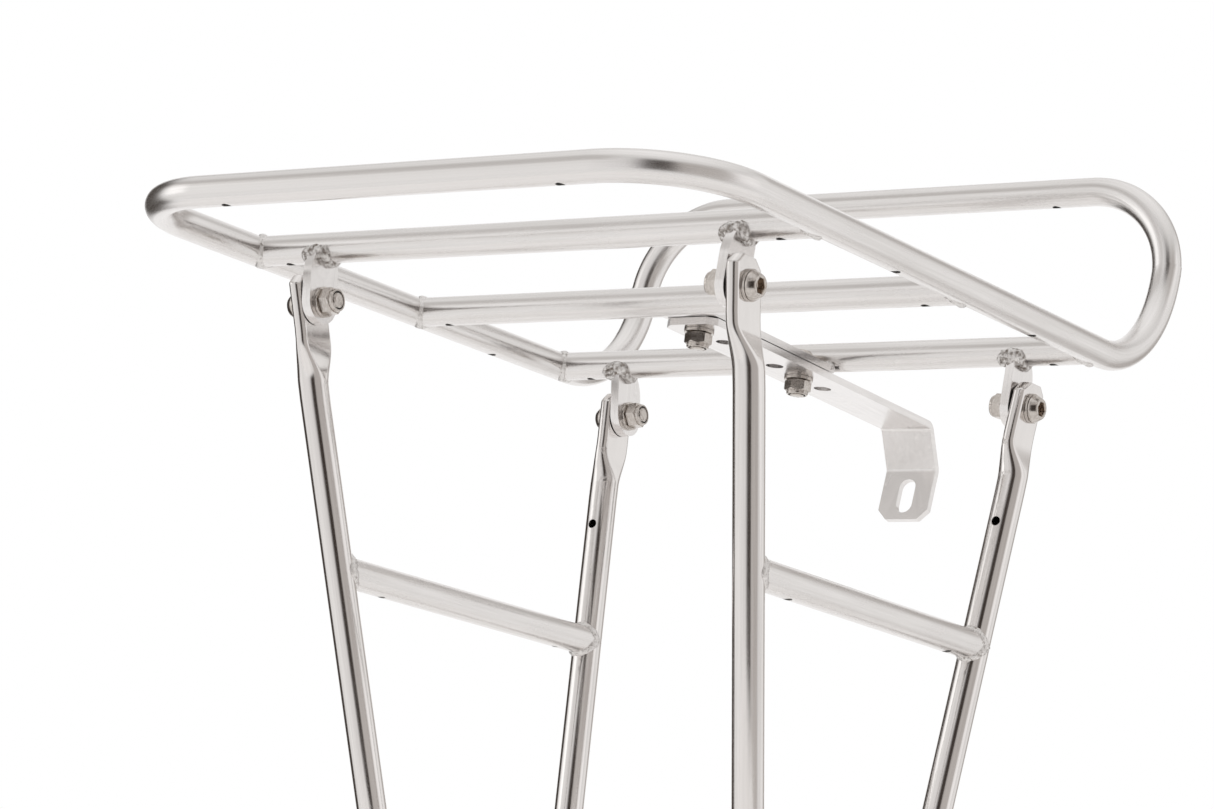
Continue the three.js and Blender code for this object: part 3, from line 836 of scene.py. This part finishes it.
def build_leg(side_name, end):
    side = SIDES[side_name]
    obj = solid("leg", leg_part(side, end))
    slot_x, slot_y = side * FOOT_PLATE_X, FOOT[end][1]
    half_slot = FOOT_PLATE_T / 2 + FIT
    low = (slot_x - half_slot, slot_y - 25, LEG_END_Z - 20)
    high = (slot_x + half_slot, slot_y + 25, FOOT_SLOT_TOP_Z)
    cutters = [bolt_drill(side, end), box_part(low, high)]
    if end == "front":
        wall = leg_point(side, end, LEG_HOLE_Z)
        cutters.append(cylinder(wall, wall + Vector((0, -9, 0)), LEG_HOLE_R))
    cut(obj, cutters)
    finish_node(obj, "leg_%s_%s" % (end, side_name), PRESSED_STEEL, angle=50.0, flat=True)


def build_link(side_name):
    side = SIDES[side_name]
    rear, front = (leg_point(side, end, LINK_Z) for end in ENDS)
    along = (front - rear).normalized()
    ends = (
        coped_end(along, rear, leg_axis(side, "rear")),
        coped_end(-along, front, leg_axis(side, "front")),
    )
    obj = solid("link", tube([(rear, along), (front, along)], ends=ends))
    cut(obj, [vent_cutter(rear.x, y, LINK_Z) for y in LINK_VENT_Y])
    finish_node(obj, "link_tube_" + side_name, TUBE_STEEL)


def tangent_angle(centre, radius, point, turn):
    """Where on a circle the tangent from a point touches it, on one side or the other."""
    dy, dz = point[0] - centre[0], point[1] - centre[1]
    return math.atan2(dz, dy) + turn * math.acos(radius / math.hypot(dy, dz))


def foot_outline():
    """(y, z) round a foot plate: an ear up into each leg, a valley between, the eyelet below."""

    def at(end, edge, z):
        return leg_point(1.0, end, z).y + edge * TUBE_R, z

    ear, valley = FOOT_EAR_Z, FOOT_VALLEY_Z
    eye = (EYELET_Y, EYELET_Z)
    hip_rear, hip_front = at("rear", -1, valley), at("front", 1, valley)
    start = tangent_angle(eye, EYELET_R, hip_rear, 1)
    stop = tangent_angle(eye, EYELET_R, hip_front, -1)
    if stop < start:
        stop += 2 * math.pi
    points = [at("rear", -1, ear), hip_rear] + arc(*eye, EYELET_R, start, stop, 40)
    points += [hip_front, at("front", 1, ear), at("front", -1, ear), at("front", -1, valley)]
    points += curve_to(points[-1], (EYELET_Y, valley - 9), at("rear", 1, valley), 16)
    return points + [at("rear", 1, ear)]


def build_foot(side_name):
    x = SIDES[side_name] * FOOT_PLATE_X
    low, high = x - FOOT_PLATE_T / 2, x + FOOT_PLATE_T / 2
    obj = solid("foot", side_plate(foot_outline(), low, high))
    eye = cylinder((low - 2, EYELET_Y, EYELET_Z), (high + 2, EYELET_Y, EYELET_Z), BOLT_HOLE_R, 40)
    bevelled(cut(obj, [eye]), FOOT_BEVEL, 3)
    finish_node(obj, "foot_plate_" + side_name, PLATE_STEEL, flat=True)


def foot_beads():
    """Short runs along each side of the slots that hold the foot plates' ears."""
    runs = []
    seed = 40.0
    proud, below, steps = 0.1, 0.2, 26
    for side, end, face in itertools.product(SIDES.values(), ENDS, (-1.0, 1.0)):
        x = side * FOOT_PLATE_X + face * (FOOT_PLATE_T / 2 + proud)
        middle = leg_point(side, end, LEG_END_Z)
        reach = math.sqrt(max(TUBE_R ** 2 - (x - middle.x) ** 2, 1.0))
        points = []
        for i in range(steps):
            turn = math.pi * (i / (steps - 1) - 0.5)
            points.append(Vector((x, middle.y + reach * math.sin(turn), LEG_END_Z - below)))
        outward = [Vector((face * 0.7, 0.0, -0.7))] * steps
        runs.append(bead(points, outward, seed, width=1.0, height=0.8))
        seed += 1.0
    return runs


# ---- tongue bar and strap ----
STRAP_FRAME = Matrix.Translation((0.0, STRAP_BOLT_Y[0], STRAP_BOTTOM_Z)) @ Matrix.Rotation(
    -STRAP_TILT, 4, "X"
)
BOLT_SPAN = STRAP_BOLT_Y[1] - STRAP_BOLT_Y[0]


def folded_edge(offset):
    """One edge of the folded strip's side profile, offset from its underside."""
    steps = 8
    corners = [Vector((STRAP_START, 0.0)), Vector(FOLD), Vector(NOSE), Vector(NOSE_END)]
    runs = [(b - a).normalized() for a, b in zip(corners, corners[1:])]
    normals = [Vector((-run.y, run.x)) for run in runs]
    edge = [corners[0] + normals[0] * offset]
    for corner, before, after in zip(corners[1:], normals, normals[1:]):
        turn = math.acos(before.dot(after))
        bisector = (before + after).normalized()
        centre = corner - bisector * (STRAP_BEND_R / math.cos(turn / 2))
        start = math.atan2(before.y, before.x)
        for k in range(steps + 1):
            angle = start - turn * k / steps
            spoke = Vector((math.cos(angle), math.sin(angle)))
            edge.append(centre + spoke * (STRAP_BEND_R + offset))
    edge.append(corners[-1] + normals[-1] * offset)
    return edge


def strap_punch(outline, middle, run, depth):
    """A prism through the strap: (x, along run) round a middle point of its side profile."""
    part = Part()
    through = Vector((-run.y, run.x))
    rings = []
    for reach in (-depth, depth):
        spots = [(x, middle + run * along + through * reach) for x, along in outline]
        rings.append(part.ring([(x, p.x, p.y) for x, p in spots]))
    return part.join(rings).move(STRAP_FRAME)


def slot_cutter():
    """An elongated hole running along the nose panel."""
    nose, end = Vector(NOSE), Vector(NOSE_END)
    half = []
    for i in range(17):
        angle = math.pi * i / 16
        along = NOSE_SLOT_HALF + math.sin(angle) * NOSE_SLOT_R
        half.append((math.cos(angle) * NOSE_SLOT_R, along))
    outline = half + [(-x, -along) for x, along in half]
    return strap_punch(outline, nose.lerp(end, NOSE_SLOT_AT), (nose - end).normalized(), 7.0)


def corner_cutter(sign, at, run, size):
    """A square prism set corner-on, that takes a chamfer off a strap end's corner."""
    edge = sign * STRAP_W / 2
    outline = [(edge, size), (edge - size, 0.0), (edge, -size), (edge + size, 0.0)]
    return strap_punch(outline, Vector(at), Vector(run).normalized(), 6.0)


def upright(y, radius, low, high):
    """A cylinder square to the strap."""
    return cylinder((0, y, low), (0, y, high), radius, 36).move(STRAP_FRAME)


def build_strap():
    outline = folded_edge(0.0) + list(reversed(folded_edge(STRAP_T)))
    part = side_plate([(p.x, p.y) for p in outline], -STRAP_W / 2, STRAP_W / 2)
    part.grain = [Vector((v.y - v.z, v.x, v.z)) for v in part.verts]
    obj = solid("strap", part.move(STRAP_FRAME))
    nose_run = Vector(NOSE_END) - Vector(NOSE)
    cutters = [upright(i * HOLE_PITCH, STRAP_HOLE_R, -2.0, 5.0) for i in range(STRAP_HOLES)]
    for sign in (-1.0, 1.0):
        cutters.append(corner_cutter(sign, (STRAP_START, 1.0), (1.0, 0.0), 3.0))
        cutters.append(corner_cutter(sign, NOSE_END, nose_run, 3.6))
    cutters.append(slot_cutter())
    bevelled(cut(obj, cutters), STRAP_BEVEL)
    finish_node(obj, "strap_bracket", PLATE_STEEL, flat=True)


def build_tongue():
    low = STRAP_T + GAP
    start = RAILS["middle"] - STRAP_BOLT_Y[0]
    end = RAILS["front"] - STRAP_BOLT_Y[0] - TONGUE_SHORT
    outline = [(start, low), (end, low), (end, low + STRAP_T), (start, low + STRAP_T)]
    part = side_plate(outline, -STRAP_W / 2, STRAP_W / 2)
    part.grain = [Vector((v.y, v.x, v.z)) for v in part.verts]
    obj = solid("tongue", part.move(STRAP_FRAME))
    cutters = [rail_cutter(0, RAILS[rail], 15) for rail in ("middle", "front")]
    cutters += [upright(y, BOLT_HOLE_R, 0.0, 9.0) for y in (0.0, BOLT_SPAN)]
    bevelled(cut(obj, cutters), STRAP_BEVEL)
    finish_node(obj, "tongue_bar", PLATE_STEEL, flat=True)


def tongue_beads():
    """Runs where the tongue bar meets its two rails, turned round the bar's corners."""
    runs = []
    off_centre, overhang, corner, wrap, steps = 4.2, 0.7, 0.88, 2.0, 44
    for rail, facing, top_z, seed in (("middle", 1.0, -1.2, 61.0), ("front", -1.0, -3.2, 62.0)):
        y = RAILS[rail] + facing * off_centre
        points, normals = [], []
        for i in range(steps):
            t = 2.0 * i / (steps - 1) - 1.0
            drop = wrap * smoothstep((abs(t) - corner) / 0.12)
            points.append(Vector((t * (STRAP_W / 2 + overhang), y, top_z - drop)))
            normals.append(Vector((0.9 * t ** 9, facing * 0.7, 0.7)).normalized())
        runs.append(bead(points, normals, seed, width=1.2, height=0.9))
    return runs


# ---- fasteners ----
HEAD_BASE = WASHER_T + GAP + SEAT


def hex_radius(angle, across_flats):
    wrapped = (angle + math.pi / 6) % (math.pi / 3) - math.pi / 6
    return across_flats / 2 / math.cos(wrapped)


def turned(profile, sides, closed=False):
    """A turned or hexagonal piece: profile gives (radius or radius function, z) along it.

    A third value marks the walls of a socket, which get painted shade.
    """
    part = Part()
    rings = []
    for radius, z, *marks in profile:
        # Socket walls have their third grain coordinate set down, which paints shade on them.
        painted_socket_shade = SOCKET_SHADE_SHIFT if marks else 0.0
        points, grains = [], []
        for angle in turns(sides):
            r = radius(angle) if callable(radius) else radius
            c, s = math.cos(angle), math.sin(angle)
            points.append((r * c, r * s, z))
            grains.append((6.0 * c, 6.0 * s, 3.0 * z + 2.0 * r - painted_socket_shade))
        rings.append(part.ring(points, grains))
    return part.join(rings, closed)


def thread_radius(z, depth):
    """A right-hand thread's radius at height z, by angle."""

    def radius(angle):
        phase = (z / THREAD_PITCH - angle / (2 * math.pi)) % 1.0
        ramp = abs(2 * phase - 1.0)
        return BOLT_R - depth * min(max(1.25 * ramp - 0.12, 0.0), 1.0)

    return radius


def socket_wall(extra):
    """The hexagon socket in a bolt's head, opened out by extra across its flats."""
    return lambda angle: hex_radius(angle, SOCKET_AF + extra)


def bolt_profile(grip):
    tip = -(grip + WASHER_T + 2 * GAP + NUT_H + BOLT_PAST)
    top = WASHER_T + 2 * GAP + HEAD_H
    thread_end = -grip * 0.5
    taper, step = 0.6, 0.1
    profile = [(1.0, tip), (1.75, tip), (1.95, tip + 0.12)]
    z = tip + 0.3
    while z < thread_end:
        depth = min(THREAD_DEPTH, THREAD_DEPTH * (z - tip) / taper)
        profile.append((thread_radius(z, depth), z))
        z += step
    profile += [(BOLT_R, thread_end + 0.15), (BOLT_R, HEAD_BASE), (HEAD_R - 0.25, HEAD_BASE)]
    profile += [(HEAD_R - 0.06, HEAD_BASE + 0.08), (HEAD_R, HEAD_BASE + 0.25)]
    steps = 8
    for i in range(steps + 1):
        t = i / steps
        z = HEAD_BASE + 0.4 + (top - HEAD_BASE - 0.5) * t
        profile.append((HEAD_R - 0.03 - (HEAD_R - HEAD_FACE_R) * t ** 1.3, z))
    profile += [(HEAD_FACE_R - 0.12, top - 0.04), (HEAD_FACE_R - 0.3, top)]
    # The socket's walls, marked True, get painted shade.
    profile += [(socket_wall(0.8), top), (socket_wall(0.8), top - 0.01, True)]
    profile += [(socket_wall(0.4), top - 0.3, True), (socket_wall(0.4), top - 2.6, True)]
    return profile + [(socket_wall(-0.1), top - 2.9, True)]


def washer_profile(low, high):
    edge, outer = 0.12, WASHER_R - 0.03
    profile = [(BOLT_HOLE_R, low + edge), (BOLT_HOLE_R + edge, low)]
    profile += [(WASHER_R - edge, low), (outer, low + 0.04), (WASHER_R, low + edge)]
    profile += [(WASHER_R, high - edge), (outer, high - 0.04), (WASHER_R - edge, high)]
    return profile + [(BOLT_HOLE_R + edge, high), (BOLT_HOLE_R, high - edge)]


def chamfered_hex(limit):
    """A nut's hexagon, its corners turned down to the limit."""
    return lambda angle: min(hex_radius(angle, NUT_AF - 0.06), limit)


def nut_profile(top):
    """A lock nut: a hexagon chamfered at both ends, and the collar round its nylon ring."""
    base = top - NUT_HEX_H
    seat = top + GAP - SEAT
    crown = top - NUT_H
    bore, corner, collar, mouth = BOLT_R + 0.12, 4.75, 3.7, 3.0
    steps = 6
    profile = [(bore, seat - 0.3), (bore + 0.35, seat), (3.75, seat)]
    for i in range(steps + 1):
        profile.append((chamfered_hex(3.8 + 0.95 * i / steps), seat - 0.02 - 0.55 * i / steps))
    for i in range(steps + 1):
        profile.append((chamfered_hex(corner - 0.75 * i / steps), base + 0.5 - 0.5 * i / steps))
    profile += [(collar + 0.02, base - 0.02), (collar, base - 0.25), (collar, crown + 0.45)]
    profile += [(3.55, crown + 0.12), (3.25, crown), (3.05, crown + 0.05)]
    return profile + [(mouth, crown + 0.3), (mouth, crown + 1.5), (bore, crown + 1.6)]


def ring_profile(top):
    """The nylon ring that grips the thread."""
    low = top - NUT_H + 0.32
    bore, rim = BOLT_R + 0.06, 2.95
    profile = [(bore, low + 0.1), (bore + 0.1, low), (rim - 0.1, low), (rim, low + 0.1)]
    return profile + [(rim, low + 1.0), (bore, low + 1.0)]


def build_fasteners(name, grip, matrix):
    """A bolt, its two washers and its nut; the bolt's head is up and its grip is below z 0."""
    nut_top = -(grip + WASHER_T + 2 * GAP)
    head_washer = washer_profile(SEAT, WASHER_T + GAP)
    nut_washer = washer_profile(-grip - GAP - WASHER_T, -grip - SEAT)
    pieces = (
        ("bolt_", "rack", turned(bolt_profile(grip), 48), BOLT_STEEL),
        ("head_washer_", "rack", turned(head_washer, 64, True), BOLT_STEEL),
        ("nut_washer_", "washer_" + name, turned(nut_washer, 64, True), BOLT_STEEL),
        ("lock_nut_", "nut_" + name, turned(nut_profile(nut_top), 96, True), BOLT_STEEL),
        ("lock_ring_", "nut_" + name, turned(ring_profile(nut_top), 48, True), NYLON),
    )
    for prefix, body, part, metal in pieces:
        obj = solid(prefix, part.move(matrix))
        finish_node(obj, prefix + name, metal, body, angle=32.0, flat=True)


# ---- the whole rack ----
build_loop()
for rail_name, rail_y in RAILS.items():
    build_rail(rail_name, rail_y)
for side_name, side_sign in SIDES.items():
    for end_name in ENDS:
        build_tab(side_name, end_name)
        build_leg(side_name, end_name)
        build_fasteners(
            "%s_%s" % (end_name, side_name),
            PLATE_T + GAP + LEG_END_T,
            bolt_frame(side_sign, end_name)
            @ Matrix.Translation((side_sign * (GAP + LEG_END_T), 0.0, 0.0))
            @ Matrix.Rotation(side_sign * math.pi / 2, 4, "Y"),
        )
    build_link(side_name)
    build_foot(side_name)
build_tongue()
build_strap()
for strap_name, strap_y in (("strap_rear", 0.0), ("strap_front", BOLT_SPAN)):
    build_fasteners(
        strap_name,
        2 * STRAP_T + GAP,
        STRAP_FRAME @ Matrix.Translation((0.0, strap_y, 2 * STRAP_T + GAP)),
    )

neat_runs, rough_runs = add_beads()
for weld_name, weld_runs, metal in (
    ("weld_beads", neat_runs, CLEAN_WELD),
    ("tab_weld_beads", rough_runs, ROUGH_WELD),
):
    weld = Part()
    for run in weld_runs:
        weld.take(run)
    finish_piece(solid(weld_name, weld), weld_name, metal, angle=60.0)

# ---- studio ----
VIEW_AZIMUTH = math.radians(34.8135)
VIEW_ELEVATION = math.radians(10.5676)
VIEW_ROLL = math.radians(5.7567)
CAMERA_PLACE = Vector((0.74463, -1.13413, 0.06451))
FOCAL_LENGTH = 123.34
SENSOR_WIDTH = 36.0
FLOOR_R = 0.55


def add_floor():
    """A round pale table top under the rack."""
    sides = 96
    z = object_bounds()[0][2] - 0.0002
    mesh = bpy.data.meshes.new("floor")
    rim = [(FLOOR_R * math.cos(turn), FLOOR_R * math.sin(turn), z) for turn in turns(sides)]
    mesh.from_pydata(rim, [], [tuple(range(sides))])
    obj = link("floor", mesh)
    material, tree, shader = new_material("pale_floor", 0.0)
    texture = node(tree, "ShaderNodeTexNoise", in_Scale=3.0, in_Detail=2.0)
    source = node(tree, "ShaderNodeTexCoord")
    tree.links.new(source.outputs["Object"], texture.inputs["Vector"])
    tone = mixed(tree, texture.outputs["Fac"], (0.93, 0.925, 0.92), (0.95, 0.945, 0.94))
    tree.links.new(tone, shader.inputs["Base Color"])
    shader.inputs["Roughness"].default_value = 0.9
    shader.inputs["Specular IOR Level"].default_value = 0.0
    mesh.materials.append(material)


def add_softbox(name, place_at, look_at, size, power, mirrored=True):
    """A rectangular lamp, seen in the metal only if it is mirrored."""
    light = bpy.data.lights.new(name, "AREA")
    light.shape = "RECTANGLE"
    light.size, light.size_y = size
    light.energy = power
    obj = link(name, light)
    obj.visible_glossy = mirrored
    obj.location = place_at
    obj.rotation_euler = (Vector(look_at) - Vector(place_at)).to_track_quat("-Z", "Y").to_euler()


WHITE, FULL, NONE = (1.0, 0.99, 0.985), (1.0, 1.0, 1.0), (0.0, 0.0, 0.0)
PANEL, LIT = (0.80, 0.785, 0.78), (0.91, 0.90, 0.89)
GREY, DIM = (0.52, 0.49, 0.47), (0.45, 0.42, 0.40)
DARK, EDGE = (0.05, 0.04, 0.035), (0.06, 0.05, 0.043)
UNDER, FLAG = (0.88, 0.875, 0.87), (0.60, 0.58, 0.565)
# The tent's walls, by degrees round from the camera's side, positive to the right.
WALL = (
    (-180, WHITE), (-166, WHITE), (-154, EDGE), (-122, EDGE), (-110, LIT), (-85, LIT),
    (-30, PANEL), (-8, DARK), (8, DARK), (16, GREY), (56, GREY), (74, PANEL), (118, LIT),
    (136, DIM), (150, DIM), (160, WHITE), (180, WHITE),
)
# What lies below and above the walls, by degrees up from level.
COVER = (
    (-90, UNDER), (-45, UNDER), (-20, WHITE), (20, PANEL), (38, (0.70, 0.69, 0.68)),
    (60, (0.88, 0.87, 0.86)), (90, (0.97, 0.96, 0.955)),
)
# How much of a grey flag, high on the left, is seen: round from the camera's side, and up.
FLAG_ROUND = ((-128, NONE), (-105, FULL), (-58, FULL), (-36, NONE))
FLAG_UP = ((18, NONE), (27, FULL), (42, FULL), (54, NONE))
# Where the walls give way to the cover, above and below.
COVER_FROM = ((30.0, 46.0), (-26.0, -38.0))


def at_azimuth(degrees):
    return 0.5 + degrees / 360.0


def at_elevation(degrees):
    return 0.5 + 0.5 * math.sin(math.radians(degrees))


def ramp(tree, value, scale, stops):
    """Colours at their stops, which scale turns from degrees to the ramp's 0 to 1."""
    made = node(tree, "ShaderNodeValToRGB")
    made.color_ramp.interpolation = "EASE"
    elements = made.color_ramp.elements
    while len(elements) < len(stops):
        elements.new(0.5)
    for element, (degrees, colour) in zip(elements, stops):
        element.position = scale(degrees)
        element.color = (*colour, 1.0)
    tree.links.new(value, made.inputs["Fac"])
    return made.outputs["Color"]


def add_world():
    """A light tent with grey panels, a dark gap at its door, a cover and a grey flag.

    The camera itself sees plain white.
    """
    world = bpy.data.worlds.new("studio")
    bpy.context.scene.world = world
    world.use_nodes = True
    tree = world.node_tree
    source = node(tree, "ShaderNodeTexCoord").outputs["Generated"]
    toward = Vector((math.sin(VIEW_AZIMUTH), -math.cos(VIEW_AZIMUTH), 0.0))
    rightward = Vector((math.cos(VIEW_AZIMUTH), math.sin(VIEW_AZIMUTH), 0.0))
    parts = []
    for direction in (rightward, toward):
        dot = node(tree, "ShaderNodeVectorMath", operation="DOT_PRODUCT")
        dot.inputs[1].default_value = direction
        tree.links.new(source, dot.inputs[0])
        parts.append(dot.outputs["Value"])
    around = remap(tree, combined(tree, "ARCTAN2", *parts), -math.pi, math.pi, 0.0, 1.0)
    split = node(tree, "ShaderNodeSeparateXYZ")
    tree.links.new(source, split.inputs[0])
    height = split.outputs["Z"]
    rise = remap(tree, height, -1.0, 1.0, 0.0, 1.0)
    shares = []
    for ends in COVER_FROM:
        low, high = (math.sin(math.radians(degrees)) for degrees in ends)
        shares.append(remap(tree, height, low, high, 0.0, 1.0, way="SMOOTHSTEP"))
    wall = ramp(tree, around, at_azimuth, WALL)
    cover = ramp(tree, rise, at_elevation, COVER)
    tent = mixed(tree, combined(tree, "ADD", *shares), wall, cover)
    flag_round = ramp(tree, around, at_azimuth, FLAG_ROUND)
    flag_up = ramp(tree, rise, at_elevation, FLAG_UP)
    flagged = mixed(tree, combined(tree, "MULTIPLY", flag_round, flag_up), tent, FLAG)
    path = node(tree, "ShaderNodeLightPath")
    shown = mixed(tree, path.outputs["Is Camera Ray"], flagged, FULL)
    tree.links.new(shown, tree.nodes["Background"].inputs["Color"])


def add_camera():
    """The photo's camera: fitted angles, roll, place and focal length."""
    az, el, roll = VIEW_AZIMUTH, VIEW_ELEVATION, VIEW_ROLL
    ahead = Vector((-math.sin(az) * math.cos(el), math.cos(az) * math.cos(el), math.sin(el)))
    level_right = ahead.cross(Vector((0, 0, 1))).normalized()
    level_up = level_right.cross(ahead)
    right = level_right * math.cos(roll) + level_up * math.sin(roll)
    up = level_up * math.cos(roll) - level_right * math.sin(roll)
    turn = Matrix((right, up, -ahead)).transposed().to_4x4()
    camera = bpy.data.cameras.new("camera")
    camera.sensor_fit = "HORIZONTAL"
    camera.sensor_width = SENSOR_WIDTH
    camera.lens = FOCAL_LENGTH
    camera.clip_start = 0.05
    obj = link("camera", camera)
    obj.matrix_world = Matrix.Translation(CAMERA_PLACE) @ turn
    bpy.context.scene.camera = obj


add_floor()
add_world()
add_softbox("overhead", (0.0, 0.0, 1.9), (0.0, 0.0, 0.2), (2.2, 2.2), power=12.0, mirrored=False)
add_softbox("left", (-1.5, -1.0, 0.7), (0.0, 0.0, 0.25), (0.8, 1.2), power=1.2)
add_softbox("right", (1.6, 0.6, 0.7), (0.0, 0.0, 0.25), (0.8, 1.2), power=0.6)
add_camera()
bpy.context.scene.view_settings.view_transform = "Standard"
bpy.context.scene.view_settings.look = "None"
